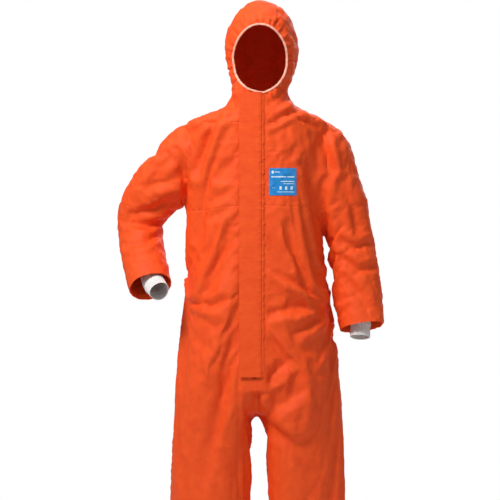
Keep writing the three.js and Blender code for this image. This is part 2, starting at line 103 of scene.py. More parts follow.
# height, centre x, half width, front y, back y, squareness of the back and of the front
TRUNK = [
    (0.704, 0, 0.160, -0.105, 0.106, 2.2, 2.2),
    (0.720, 0, 0.192, -0.134, 0.126, 2.3, 2.3),
    (0.780, 0.002, 0.218, None, 0.140, 2.4, 2.4),
    (0.850, 0.003, 0.215, None, 0.146, 2.4, 2.4),
    (0.920, 0.003, 0.207, None, 0.140, 2.4, 2.4),
    (0.968, -0.003, 0.192, None, 0.131, 2.4, 2.4),
    (1.002, 0.003, 0.201, None, 0.127, 2.4, 2.4),
    (1.070, -0.001, 0.194, None, 0.128, 2.4, 2.4),
    (1.150, -0.003, 0.184, None, 0.130, 2.4, 2.4),
    (1.238, 0, 0.178, None, 0.132, 2.4, 2.4),
    (1.320, 0, 0.184, None, 0.130, 2.3, 2.3),
    (1.390, 0, 0.192, None, 0.120, 2.2, 2.2),
    (1.432, 0, 0.196, None, 0.108, 2.1, 2.1),
    (1.462, 0, 0.188, None, 0.098, 2, 2.3),
    (1.478, 0.004, 0.158, None, 0.092, 2, 2.5),
    (1.493, 0.010, 0.118, None, 0.088, 2, 2.8),
    (1.510, 0.009, 0.088, None, 0.084, 2, 3),
    (1.530, 0.008, 0.077, None, 0.082, 2.1, 3.2),
    (1.548, 0.007, 0.074, None, 0.085, 2.1, 3.2),
    (1.582, 0.013, 0.083, -0.106, 0.106, 2.1, 2.6),
    (1.625, 0.013, 0.096, -0.096, 0.126, 2.1, 2.1),
    (1.656, 0.013, 0.100, -0.098, 0.130, 2.1, 2.1),
    (1.683, 0.012, 0.098, -0.096, 0.130, 2.1, 2.1),
    (1.712, 0.011, 0.091, -0.092, 0.124, 2.1, 2.1),
    (1.740, 0.013, 0.079, -0.082, 0.110, 2.1, 2.1),
    (1.768, 0.013, 0.058, -0.058, 0.086, 2, 2),
    (1.784, 0.010, 0.034, -0.032, 0.058, 2, 2),
    (1.790, 0.009, 0.012, -0.008, 0.030, 2, 2),
]
TRUNK = [(z, x, w, front_line(z) if f is None else f, b, n, m) for z, x, w, f, b, n, m in TRUNK]

LEGS = {
    "left": [
        (0.860, 0.104, 0.108, -0.136, 0.132), (0.780, 0.108, 0.113, -0.143, 0.133),
        (0.715, 0.112, 0.116, -0.138, 0.131), (0.692, 0.120, 0.109, -0.136, 0.130),
        (0.600, 0.126, 0.105, -0.123, 0.121),
        (0.445, 0.129, 0.101, -0.113, 0.113), (0.250, 0.138, 0.090, -0.100, 0.104),
        (0.120, 0.145, 0.074, -0.082, 0.088), (0.072, 0.147, 0.062, -0.070, 0.076),
    ],
    "right": [
        (0.860, -0.098, 0.108, -0.136, 0.132), (0.780, -0.106, 0.114, -0.143, 0.133),
        (0.715, -0.113, 0.119, -0.138, 0.131), (0.692, -0.120, 0.114, -0.136, 0.130),
        (0.600, -0.124, 0.116, -0.125, 0.123),
        (0.445, -0.129, 0.113, -0.117, 0.117), (0.250, -0.139, 0.095, -0.102, 0.106),
        (0.120, -0.146, 0.075, -0.083, 0.089), (0.072, -0.148, 0.062, -0.070, 0.076),
    ],
}

# centre x, y, z, half width, half depth, from the shoulder to the hem
SLEEVES = {
    "left": [
        (0.126, 0, 1.412, 0.064, 0.062), (0.174, 0.003, 1.387, 0.077, 0.076),
        (0.213, 0.010, 1.288, 0.069, 0.074), (0.239, 0.018, 1.180, 0.062, 0.068),
        (0.259, 0.014, 1.072, 0.063, 0.064), (0.273, 0, 0.990, 0.061, 0.060),
        (0.283, -0.020, 0.911, 0.057, 0.056),
    ],
    "right": [
        (-0.124, 0, 1.408, 0.064, 0.062), (-0.174, 0.008, 1.387, 0.076, 0.076),
        (-0.239, 0.026, 1.316, 0.079, 0.076), (-0.293, 0.054, 1.250, 0.072, 0.068),
        (-0.316, 0.070, 1.200, 0.062, 0.062), (-0.313, 0.038, 1.140, 0.060, 0.057),
        (-0.300, -0.020, 1.078, 0.060, 0.056), (-0.285, -0.070, 1.020, 0.058, 0.054),
    ],
}
CUFFS = {
    "left": [(0.280, -0.010, 0.948, 0.026, 0.026), (0.278, -0.019, 0.916, 0.028, 0.028),
             (0.276, -0.028, 0.884, 0.0265, 0.027)],
    "right": [(-0.284, -0.046, 1.046, 0.026, 0.026), (-0.273, -0.082, 1.026, 0.028, 0.028),
              (-0.260, -0.112, 1.008, 0.0265, 0.027)],
}
ELBOWS = {"left": (Vector((0.2458, 0.0181, 1.1462)), Vector((0.185, -0.014, -0.983))),
          "right": (Vector((-0.3126, 0.0693, 1.2122)), Vector((-0.325, 0.192, -0.926)))}


def smooth_rows(rows, step):
    """More rows between the given ones, on smooth curves that don't overshoot."""
    out = []
    for k in range(len(rows) - 1):
        before, a = rows[max(k - 1, 0)], rows[k]
        b, after = rows[k + 1], rows[min(k + 2, len(rows) - 1)]
        length = math.dist(a[:3], b[:3])
        count = max(1, round(length / step))
        for i in range(count):
            t = i / count
            row = []
            for p0, p1, p2, p3 in zip(before, a, b, after):
                m1 = 0 if (p1 - p0) * (p2 - p1) <= 0 else (p2 - p0) / 2
                m2 = 0 if (p2 - p1) * (p3 - p2) <= 0 else (p3 - p1) / 2
                m1 = math.copysign(min(abs(m1), 1.5 * abs(p2 - p1)), m1)
                m2 = math.copysign(min(abs(m2), 1.5 * abs(p2 - p1)), m2)
                row.append(
                    p1 * (2 * t**3 - 3 * t**2 + 1) + m1 * (t**3 - 2 * t**2 + t)
                    + p2 * (3 * t**2 - 2 * t**3) + m2 * (t**3 - t**2)
                )
            out.append(tuple(row))
    return out + [rows[-1]]


def power(value, square):
    return math.copysign(abs(value) ** (2 / square), value)


def level_place(row, inset, turn):
    z, x, wide, front, back = row[:5]
    square, front_square = row[5:] if len(row) > 5 else (2.1, 2.1)
    middle = (front + back) / 2
    ahead = math.sin(turn) < 0
    n = front_square if ahead else square
    y = middle + (back - inset - middle) * power(math.sin(turn), n) * (1.04 if ahead else 1)
    return above_floor(x + (wide - inset) * power(math.cos(turn), n), max(y, front + inset), z)


def limb_frames(rows):
    """Each row's centre, the two directions across it, and its half sizes."""
    centres = [Vector(r[:3]) for r in rows]
    out = []
    for k, row in enumerate(rows):
        along = (centres[min(k + 1, len(rows) - 1)] - centres[max(k - 1, 0)]).normalized()
        across = Vector((0, 1, 0)).cross(along).normalized()
        out.append((above_floor(*row[:3]), across, along.cross(across), row[3], row[4]))
    return out


def each_once(things):
    """The same things in the order met; a set's order varies from run to run."""
    return list(dict.fromkeys(things))


def bridged_rings(bm, rings, sides, ends_as="capped"):
    """Rings of the same number of corners, each placed by its own function of the angle, joined in turn."""
    last = None
    ends = []
    for place in rings:
        verts = bmesh.ops.create_circle(bm, segments=sides, radius=1)["verts"]
        edges = each_once(e for v in verts for e in v.link_edges)
        for v in verts:
            v.co = place(math.atan2(v.co.y, v.co.x))
        if last:
            bmesh.ops.bridge_loops(bm, edges=last + edges)
        else:
            ends.append(edges)
        last = edges
    if ends_as == "capped":
        bmesh.ops.holes_fill(bm, edges=ends[0] + last, sides=sides)
    elif ends_as == "joined":
        bmesh.ops.bridge_loops(bm, edges=last + ends[0])


def level_rings(rows, inset):
    return [lambda turn, row=row: level_place(row, inset, turn) for row in smooth_rows(rows, 0.02)]


def limb_rings(rows, inset):
    def placed(frame):
        centre, across, deep, wide, thick = frame
        return lambda turn: (
            centre + across * (wide - inset) * math.cos(turn) + deep * (thick - inset) * math.sin(turn)
        )
    return [placed(f) for f in limb_frames(smooth_rows(rows, 0.02))]


def mesh_object(name, bm):
    mesh = bpy.data.meshes.new(name)
    bm.to_mesh(mesh)
    bm.free()
    thing = bpy.data.objects.new(name, mesh)
    bpy.context.scene.collection.objects.link(thing)
    return thing


def with_modifiers_applied(thing):
    depsgraph = bpy.context.evaluated_depsgraph_get()
    mesh = bpy.data.meshes.new_from_object(thing.evaluated_get(depsgraph))
    thing.modifiers.clear()
    thing.data = mesh
    return thing


# The left sleeve hangs against the body. It is joined while it is swung out, and then swung back.
SWING, SWING_FROM, ARMHOLE = 0.30, 1.25, 0.187


def swung_out(rows):
    return [(x + SWING * max(0, SWING_FROM - z), y, z, *size) for x, y, z, *size in rows]


def swung_side(co):
    """Which sleeve a point belongs to while the left one is swung out."""
    z = co.z - FLOOR
    if 0.80 < z < 1.47 and co.x > ARMHOLE + 0.33 * max(0, 1.20 - z):
        return "left"
    if 0.93 < z < 1.47 and co.x < -ARMHOLE - 0.10 * max(0, 1.25 - z):
        return "right"
    return ""


def swing_back(verts):
    for v in verts:
        z = v.co.z - FLOOR
        if z < SWING_FROM and v.co.x > 0.180 and (swung_side(v.co) or z > 1.15):
            out = SWING * (SWING_FROM - z)
            t = min(1, (v.co.x - 0.180) / (0.010 + 2 * out))
            near = max(0, min(1, (z - 1.14) / 0.06))
            v.co.x -= out * (1 - near + near * t * t * (3 - 2 * t))


def run_on(rows):
    """One more row, 15 mm past the last one."""
    (*before, _, _), (*last, wide, deep) = rows[-2:]
    past = Vector(last) + (Vector(last) - Vector(before)).normalized() * 0.015
    return rows + [(*past, wide, deep)]


def filled_suit(name, inset, voxel):
    """The whole suit as one closed body, smaller all over by the inset."""
    bm = bmesh.new()
    bridged_rings(bm, level_rings(TRUNK, inset), 64)
    for side in ("left", "right"):
        foot = LEGS[side][-1]
        bridged_rings(bm, level_rings(LEGS[side] + [(foot[0] - 0.015, *foot[1:])], inset), 48)
        rows = swung_out(SLEEVES[side]) if side == "left" else SLEEVES[side]
        bridged_rings(bm, limb_rings(run_on(rows), inset), 40)
    bmesh.ops.recalc_face_normals(bm, faces=bm.faces)
    body = mesh_object(name, bm)
    remesh = body.modifiers.new("remesh", "REMESH")
    remesh.mode = "VOXEL"
    remesh.voxel_size = voxel
    return with_modifiers_applied(body)


# ---------------------------------------------------------------- openings and folds
def face_angle(co):
    return math.atan2(
        (co.z - FLOOR - FACE_CENTRE[1]) / FACE_HALF[1], (co.x - FACE_CENTRE[0]) / FACE_HALF[0]
    )


def face_reach(co):
    """1 on the edge of the face opening, less inside it."""
    return math.hypot(
        (co.x - FACE_CENTRE[0]) / FACE_HALF[0], (co.z - FLOOR - FACE_CENTRE[1]) / FACE_HALF[1]
    )


def cut(bm, point, normal, picked, clear=False, snap=0.0025):
    """Cuts the picked cloth along a plane, and drops what is past it if asked."""
    faces = [f for f in bm.faces if picked(f.calc_center_median())]
    near = list(faces)
    near += each_once(e for f in faces for e in f.edges)
    near += each_once(v for f in faces for v in f.verts)
    bmesh.ops.bisect_plane(
        bm, geom=near, dist=snap, plane_co=point, plane_no=normal, use_snap_center=True,
        clear_outer=clear,
    )


def sleeve_end(side, swung=False):
    """A point on the sleeve's true end, and the way it faces, square to the arm at rest."""
    rows = SLEEVES[side]
    outward = (Vector(rows[-1][:3]) - Vector(rows[-2][:3])).normalized()
    if swung and side == "left":
        rows = swung_out(rows)
        outward = (outward + Vector((0, 0, SWING * outward.x))).normalized()
    return above_floor(*rows[-1][:3]), outward


def cut_openings(bm):
    cut(bm, above_floor(0, 0, HEM), (0, 0, -1), lambda c: c.z - FLOOR < 0.15, True)
    for side in ("left", "right"):
        point, outward = sleeve_end(side, True)
        cut(bm, point, outward, lambda c: swung_side(c) == side and (c - point).length < 0.13, True)
    inside = [
        f for f in bm.faces
        if f.calc_center_median().y < 0.03 and face_reach(f.calc_center_median()) < 1
    ]
    bmesh.ops.delete(bm, geom=inside, context="FACES")
    for v in bm.verts:
        if v.is_boundary and v.co.y < 0.03 and 0.7 < face_reach(v.co) < 1.25:
            turn = face_angle(v.co)
            v.co.x = FACE_CENTRE[0] + FACE_HALF[0] * math.cos(turn)
            v.co.z = FACE_CENTRE[1] + FLOOR + FACE_HALF[1] * math.sin(turn)


# ---------------------------------------------------------------- sewn panels
PANELS = [
    "hood_centre_cloth", "hood_side_cloth_left", "hood_side_cloth_right", "neck_cloth_left",
    "neck_cloth_right", "yoke_cloth_left", "yoke_cloth_right", "front_cloth_left", "front_cloth_right",
    "back_upper_cloth", "back_lower_cloth_left", "back_lower_cloth_right", "gusset_cloth",
    "sleeve_cloth_left", "sleeve_cloth_right", "ankle_band_left", "ankle_band_right",
]
NECK_NORMAL = Vector((0, -0.26, 1)).normalized()
NECK_POINT = above_floor(0, 0, 1.488)
HOOD_EDGES = (-0.035, 0.055)
GUSSET = (0.050, 0.070, 0.646, 0.737)
SLOT_EDGES = (ZIP_X - SLOT, ZIP_X + SLOT)
SLOT_FOOT = 0.778
BAND = HEM + 0.024


def above_neck(co):
    return (co - NECK_POINT).dot(NECK_NORMAL) > 0


def in_gusset(co, spare=0.0):
    z = co.z - FLOOR
    return abs(co.x) < GUSSET[0] + spare and abs(co.y) < GUSSET[1] + spare and (
        GUSSET[2] - spare < z < GUSSET[3] + spare
    )


def in_slot(co):
    z = co.z - FLOOR
    return co.y < 0 and SLOT_EDGES[0] < co.x < SLOT_EDGES[1] and SLOT_FOOT < z < 1.56


def panel_of(co):
    """The name of the panel that a point of the cloth belongs to, before the sleeve is swung back."""
    z = co.z - FLOOR
    centre = ZIP_X if z > GUSSET[3] and (co.y < 0 or above_neck(co)) else 0
    side = "left" if co.x > centre else "right"
    if swung_side(co):
        return "sleeve_cloth_" + swung_side(co)
    if z > CHIN:
        if HOOD_EDGES[0] < co.x < HOOD_EDGES[1]:
            return "hood_centre_cloth"
        return "hood_side_cloth_" + side
    if above_neck(co):
        return "neck_cloth_" + side
    if in_gusset(co):
        return "gusset_cloth"
    if z < BAND:
        return "ankle_band_" + side
    if co.y < 0:
        return ("yoke_cloth_" if z > CHEST_SEAM else "front_cloth_") + side
    return "back_upper_cloth" if z > WAIST else "back_lower_cloth_" + side


def cut_seams(bm):
    def level(z, test=lambda c: True):
        cut(bm, above_floor(0, 0, z), (0, 0, 1), lambda c: abs(c.z - FLOOR - z) < 0.03 and test(c))

    def upright(x, test):
        cut(bm, (x, 0, 0), (1, 0, 0), lambda c: abs(c.x - x) < 0.03 and test(c))

    upright(ARMHOLE, lambda c: 1.195 < c.z - FLOOR < 1.47)
    upright(-ARMHOLE, lambda c: 1.245 < c.z - FLOOR < 1.47)
    cut(
        bm, NECK_POINT, NECK_NORMAL,
        lambda c: c.z - FLOOR > 1.43 and abs((c - NECK_POINT).dot(NECK_NORMAL)) < 0.03,
    )
    level(CHIN)
    for x in HOOD_EDGES:
        upright(x, lambda c: c.z - FLOOR > CHIN)
    cut(
        bm, (0, 0, 0), (0, 1, 0),
        lambda c: abs(c.y) < 0.03 and not above_neck(c) and not swung_side(c) and not in_gusset(c, -0.005),
    )
    level(CHEST_SEAM, lambda c: c.y < 0 and not swung_side(c))
    level(WAIST, lambda c: c.y > 0 and not swung_side(c))
    level(BAND)
    for x in (-GUSSET[0], GUSSET[0]):
        upright(x, lambda c: in_gusset(c, 0.02))
    for y in (-GUSSET[1], GUSSET[1]):
        cut(bm, (0, y, 0), (0, 1, 0), lambda c: in_gusset(c, 0.02))
    level(GUSSET[2], lambda c: in_gusset(c, 0.02))
    level(GUSSET[3], lambda c: in_gusset(c, 0.02))
    for x in SLOT_EDGES:
        upright(x, lambda c: c.y < 0 and SLOT_FOOT - 0.02 < c.z - FLOOR < 1.56)
    level(SLOT_FOOT, lambda c: c.y < 0 and abs(c.x - ZIP_X) < 0.012)
    upright(ZIP_X, lambda c: c.y < 0 and GUSSET[3] < c.z - FLOOR < SLOT_FOOT)
    upright(ZIP_X, lambda c: c.y > 0 and above_neck(c) and c.z - FLOOR < CHIN)
    upright(0, lambda c: c.y > 0 and c.z - FLOOR < WAIST)
    panel = bm.faces.layers.int.new("panel")
    slot_faces = [f for f in bm.faces if in_slot(f.calc_center_median())]
    bmesh.ops.delete(bm, geom=slot_faces, context="FACES")
    for f in bm.faces:
        f[panel] = PANELS.index(panel_of(f.calc_center_median()))


# Folds on the front as (points across and up, depth, width), all above the floor.
FRONT_FOLDS = [
    ([(-0.108, 1.476), (-0.140, 1.400), (-0.164, 1.333)], 0.016, 0.011),
    ([(-0.202, 1.368), (-0.196, 1.340), (-0.188, 1.290)], 0.016, 0.012),
    ([(-0.150, 1.290), (-0.110, 1.272), (-0.060, 1.262)], 0.008, 0.014),
    ([(-0.140, 1.215), (-0.100, 1.225), (-0.055, 1.235)], 0.006, 0.012),
    ([(0.175, 1.427), (0.186, 1.380), (0.196, 1.330)], 0.016, 0.011),
    ([(0.150, 1.330), (0.165, 1.250), (0.178, 1.160)], 0.014, 0.016),
    ([(0.160, 1.400), (0.150, 1.340), (0.140, 1.280)], 0.007, 0.012),
    ([(0.195, 0.978), (0.150, 0.984), (0.080, 0.968), (0.012, 0.945)], 0.020, 0.012),
    ([(0.190, 0.966), (0.140, 0.940), (0.090, 0.900)], 0.014, 0.012),
    ([(0.190, 0.996), (0.120, 1.035), (0.060, 1.055)], 0.011, 0.012),
    ([(0.150, 1.010), (0.110, 1.110), (0.085, 1.190)], 0.007, 0.013),
    ([(0.100, 0.850), (0.060, 0.810), (0.005, 0.755), (-0.002, 0.700)], 0.024, 0.014),
    ([(0.150, 0.780), (0.090, 0.740), (0.020, 0.700)], 0.014, 0.014),
    ([(0.020, 0.690), (0.060, 0.645), (0.110, 0.618), (0.160, 0.640)], 0.014, 0.016),
    ([(-0.020, 0.700), (-0.040, 0.620), (-0.055, 0.520)], 0.010, 0.016),
    ([(-0.113, 0.741), (-0.090, 0.640), (-0.062, 0.500)], 0.013, 0.030),
    ([(-0.020, 0.700), (-0.070, 0.735), (-0.130, 0.775)], 0.013, 0.015),
    ([(-0.190, 0.990), (-0.130, 0.980), (-0.060, 0.992)], 0.012, 0.012),
    ([(-0.185, 0.960), (-0.120, 0.930), (-0.060, 0.925)], 0.008, 0.012),
    ([(-0.160, 0.900), (-0.120, 0.860), (-0.090, 0.800)], 0.008, 0.014),
    ([(-0.230, 1.250), (-0.280, 1.225), (-0.330, 1.215)], 0.012, 0.012),
    ([(-0.240, 1.200), (-0.290, 1.185), (-0.345, 1.190)], 0.012, 0.010),
    ([(-0.250, 1.170), (-0.300, 1.140), (-0.350, 1.130)], 0.010, 0.010),
    ([(-0.200, 1.330), (-0.250, 1.300), (-0.300, 1.290)], 0.010, 0.014),
    ([(-0.215, 1.380), (-0.260, 1.340), (-0.300, 1.270)], 0.007, 0.016),
    ([(0.225, 1.300), (0.255, 1.240), (0.280, 1.150)], 0.011, 0.014),
    ([(0.215, 1.150), (0.265, 1.125), (0.315, 1.140)], 0.011, 0.012),
    ([(0.225, 1.100), (0.270, 1.065), (0.325, 1.075)], 0.010, 0.011),
    ([(0.240, 1.040), (0.280, 0.990), (0.300, 0.940)], 0.008, 0.013),
    ([(-0.084, 1.552), (-0.068, 1.520), (-0.062, 1.478)], 0.015, 0.008),
    ([(-0.060, 1.535), (-0.048, 1.505), (-0.050, 1.466)], 0.009, 0.007),
    ([(0.098, 1.555), (0.080, 1.522), (0.046, 1.496)], 0.016, 0.008),
    ([(0.120, 1.498), (0.075, 1.478), (0.036, 1.455)], 0.011, 0.008),
    ([(0.074, 1.546), (0.056, 1.522), (0.030, 1.508)], 0.010, 0.007),
    ([(-0.075, 1.478), (-0.140, 1.462), (-0.190, 1.425)], 0.009, 0.010),
    ([(0.100, 1.476), (0.155, 1.455), (0.195, 1.420)], 0.009, 0.010),
]


def stroke_reach(points, x, z):
    """Distance to a chain of points, which side it is on, and how far along it is, from 0 to 1."""
    best = (1e9, 0, 0)
    total = sum(math.dist(a, b) for a, b in zip(points, points[1:]))
    run = 0
    for (ax, az), (bx, bz) in zip(points, points[1:]):
        dx, dz = bx - ax, bz - az
        length = math.hypot(dx, dz)
        t = max(0, min(1, ((x - ax) * dx + (z - az) * dz) / length**2))
        px, pz = ax + t * dx - x, az + t * dz - z
        far = math.hypot(px, pz)
        if far < best[0]:
            side = math.copysign(1, dx * (z - az) - dz * (x - ax))
            best = (far, side, (run + t * length) / total)
        run += length
    return best


def press_folds(bm, strokes, facing):
    bm.normal_update()
    moves = {}
    for points, depth, width in strokes:
        lo_x, hi_x = min(p[0] for p in points) - 4 * width, max(p[0] for p in points) + 4 * width
        lo_z, hi_z = min(p[1] for p in points) - 4 * width, max(p[1] for p in points) + 4 * width
        for v in bm.verts:
            z = v.co.z - FLOOR
            if not (lo_x < v.co.x < hi_x and lo_z < z < hi_z):
                continue
            face_on = v.normal.y * facing
            if face_on < 0.1:
                continue
            far, side, t = stroke_reach(points, v.co.x, z)
            taper = math.sin(math.pi * (0.06 + 0.88 * t)) ** 0.7
            valley = math.exp(-((far / width) ** 2))
            ridge = 0.55 * math.exp(-(((side * far - 1.9 * width) / (1.1 * width)) ** 2))
            push = depth * taper * (ridge - valley) * min(1, 2 * face_on)
            moves[v] = moves.get(v, Vector()) + v.normal * push
    for v, move in moves.items():
        v.co += move


def flap_strip(co):
    """1 on the flat strip that the zip and flap lie on, fading to 0 beside it."""
    z = co.z - FLOOR
    if co.y > 0 or not FLAP_FOOT - 0.04 < z < CHIN + 0.01:
        return 0
    beside = max(FLAP_SEWN_X - FLAP_WIDTH + 0.012 - co.x, co.x - FLAP_SEWN_X - 0.006, 0)
    return max(0, 1 - beside / 0.014)


def hold_weight(co, normal):
    """How firmly a point of the cloth is held in place while it settles."""
    z = co.z - FLOOR
    held = 0.03
    held = max(held, flap_strip(co))
    if co.y < 0.03 and z > 1.5:
        held = max(held, 1 - max(0, face_reach(co) - 1.04) / 0.12)
    held = max(held, 1.6 - abs(z - HEM - 0.012) / 0.02)
    for side in ("left", "right"):
        point, outward = sleeve_end(side)
        if (co - point).length < 0.075 and co.x * point.x > 0 and abs(co.x) > 0.215:
            held = max(held, 0.80 - abs((co - point).dot(outward)) / 0.07)
        if (co - point).length < 0.26 and co.x * point.x > 0 and abs(co.x) > 0.215:
            held = max(held, 0.50 - 0.20 * (co - point).length / 0.26)
    if co.y > 0.02:
        held = max(held, 1.3 - abs(z - WAIST) / 0.02)
    if z > 1.36 and abs(co.x) < 0.26:
        held = max(held, 0.25)
    if abs(co.x) > 0.215 and 0.87 < z < 1.36:
        held = max(held, 0.30)
    if co.y < 0:
        inner, foot, side_length = LABEL
        off = max(inner - co.x, co.x - inner - side_length, foot - z, z - foot - side_length, 0)
        held = max(held, 0.6 * (1 - off / 0.03))
    if z > 1.70:
        held = max(held, 0.25)
    return max(0, min(1, held))


MOST_SETTLING = 0.024  # the furthest that a point of the cloth may move


def settle(cloth, wearer, frames=28):
    """Lets loose cloth, cut a little larger than the wearer, hang and crumple."""
    held = cloth.vertex_groups.new(name="held")
    normals = [v.normal.copy() for v in cloth.data.vertices]
    start = [v.co.copy() for v in cloth.data.vertices]
    scene = bpy.context.scene
    for v in cloth.data.vertices:
        held.add([v.index], hold_weight(v.co, normals[v.index]), "REPLACE")
    body = wearer.modifiers.new("body", "COLLISION")
    body.settings.thickness_outer = 0.002
    body.settings.cloth_friction = 12
    loose = cloth.modifiers.new("loose", "CLOTH")
    set_up = loose.settings
    set_up.quality = 6
    set_up.mass = 0.12
    set_up.tension_stiffness = 25
    set_up.compression_stiffness = 25
    set_up.shear_stiffness = 8
    set_up.bending_stiffness = 0.35
    set_up.air_damping = 2
    set_up.shrink_min = -0.055
    set_up.use_pressure = True
    set_up.uniform_pressure_force = 0.35
    set_up.vertex_group_mass = "held"
    set_up.pin_stiffness = 1.0
    loose.collision_settings.collision_quality = 2
    loose.collision_settings.distance_min = 0.003
    loose.collision_settings.use_self_collision = False
    loose.point_cache.frame_start, loose.point_cache.frame_end = 1, frames
    for step in range(1, frames + 1):
        scene.frame_set(step)
    with_modifiers_applied(cloth)
    scene.frame_set(1)
    cloth.vertex_groups.clear()
    for v, was in zip(cloth.data.vertices, start):
        move = v.co - was
        if move.length > MOST_SETTLING:
            v.co = was + move * (MOST_SETTLING / move.length)


def lay_flat_strip(bm):
    """The strip under the zip and flap lies on the plain leaning front."""
    for v in bm.verts:
        flat = min(1, 1.3 * flap_strip(v.co))
        if flat:
            v.co.y += (front_line(v.co.z - FLOOR) + 0.001 - v.co.y) * flat


garment = filled_suit("garment", 0.001, 0.0092)
bm = bmesh.new()
bm.from_mesh(garment.data)
cut_openings(bm)
cut_seams(bm)
swing_back(bm.verts)
press_folds(bm, FRONT_FOLDS, -1)
bmesh.ops.smooth_vert(bm, verts=bm.verts, factor=0.3, use_axis_x=True, use_axis_y=True, use_axis_z=True)
lay_flat_strip(bm)
bm.to_mesh(garment.data)
bm.free()
wearer = filled_suit("wearer", 0.024, 0.014)
swing_back(wearer.data.vertices)
settle(garment, wearer)
bpy.data.objects.remove(wearer)


# ---------------------------------------------------------------- finer cloth
def refine(thing):
    finer = thing.modifiers.new("finer", "SUBSURF")
    finer.levels = finer.render_levels = 1
    with_modifiers_applied(thing)


def crease_noise(co):
    """Short soft creases of thin crushed cloth, from about -1 to 1."""
    warp = noise.noise_vector(co * 9) * 0.035
    ridged = 1 - 2 * abs(noise.noise((co + warp) * 21))
    return 0.6 * ridged * abs(ridged) + 0.4 * noise.noise((co + warp * 0.5) * 44)


def seam_points(bm):
    """Every seam vertex and the middle of every seam edge, as a search tree."""
    panel = bm.faces.layers.int["panel"]
    spots = []
    for e in bm.edges:
        if len({f[panel] for f in e.link_faces}) > 1 or e.is_boundary and in_slot_reach(e.verts[0].co):
            one, two = e.verts[0].co, e.verts[1].co
            spots += [one.copy(), (one + two) / 2, two.copy()]
    tree = KDTree(len(spots))
    for i, co in enumerate(spots):
        tree.insert(co, i)
    tree.balance()
    return tree


def in_slot_reach(co):
    return co.y < 0 and abs(co.x - ZIP_X) < 0.02 and co.z - FLOOR < 1.56


def wave(t, seed=0.0):
    return math.sin(t + 1.4 * math.sin(t / 6 + seed)) + 0.45 * math.sin(1.7 * t + seed)


def fine_shape(bm):
    """Small creases, gathers at the elastics, and puckers along the seams."""
    bm.normal_update()
    tree = seam_points(bm)
    seam = bm.verts.layers.float.new("seam")
    for v in bm.verts:
        co = v.co
        z = co.z - FLOOR
        _, _, far = tree.find(co)
        v[seam] = min(far, 0.05)
        calm = 1 - min(1, 1.3 * flap_strip(co))
        push = 0.0019 * crease_noise(co)
        along = (co.x + 0.7 * co.z) / 0.0024
        push += (
            0.0006 * wave(along) * math.exp(-((far / 0.012) ** 2))
            - 0.0008 * math.exp(-((far / 0.004) ** 2))
        )
        if co.y < 0.04 and z > 1.5:
            reach = max(0, face_reach(co) - 1)
            turn = face_angle(co)
            pleat = wave(29 * turn + 2 * math.sin(2 * turn)) + 0.4 * wave(61 * turn, 2)
            push += 0.0026 * pleat * math.exp(-((reach / 0.26) ** 2)) * min(1, reach / 0.05 + 0.15)
        if co.y > -0.01 and abs(z - WAIST) < 0.12 and abs(co.x) < 0.19:
            beside = min(1, (co.y + 0.01) / 0.05)
            gather = 0.0022 * (1.2 + wave(co.x / 0.0052, 1)) * math.exp(-(((z - WAIST) / 0.045) ** 2))
            blouse = 0.006 * math.exp(-(((abs(z - WAIST) - 0.040) / 0.022) ** 2))
            push = max(push, 0) + beside * (max(gather, 0) + blouse)
        if z < 0.2:
            turn = math.atan2(co.y, co.x - math.copysign(0.1475, co.x))
            gather = 0.0020 * (1.2 + wave(30 * turn)) * math.exp(-(((z - HEM - 0.012) / 0.05) ** 2))
            blouse = 0.004 * math.exp(-(((z - HEM - 0.045) / 0.020) ** 2))
            push = max(push, 0) + max(gather, 0) + blouse
        co += v.normal * push * calm


refine(garment)
bm = bmesh.new()
bm.from_mesh(garment.data)
fine_shape(bm)
lay_flat_strip(bm)
bm.to_mesh(garment.data)
bm.free()


# ---------------------------------------------------------------- materials
def linear(red, green, blue):
    channels = (red, green, blue)
    return tuple(((c + 0.055) / 1.055) ** 2.4 if c > 0.04045 else c / 12.92 for c in channels) + (1,)


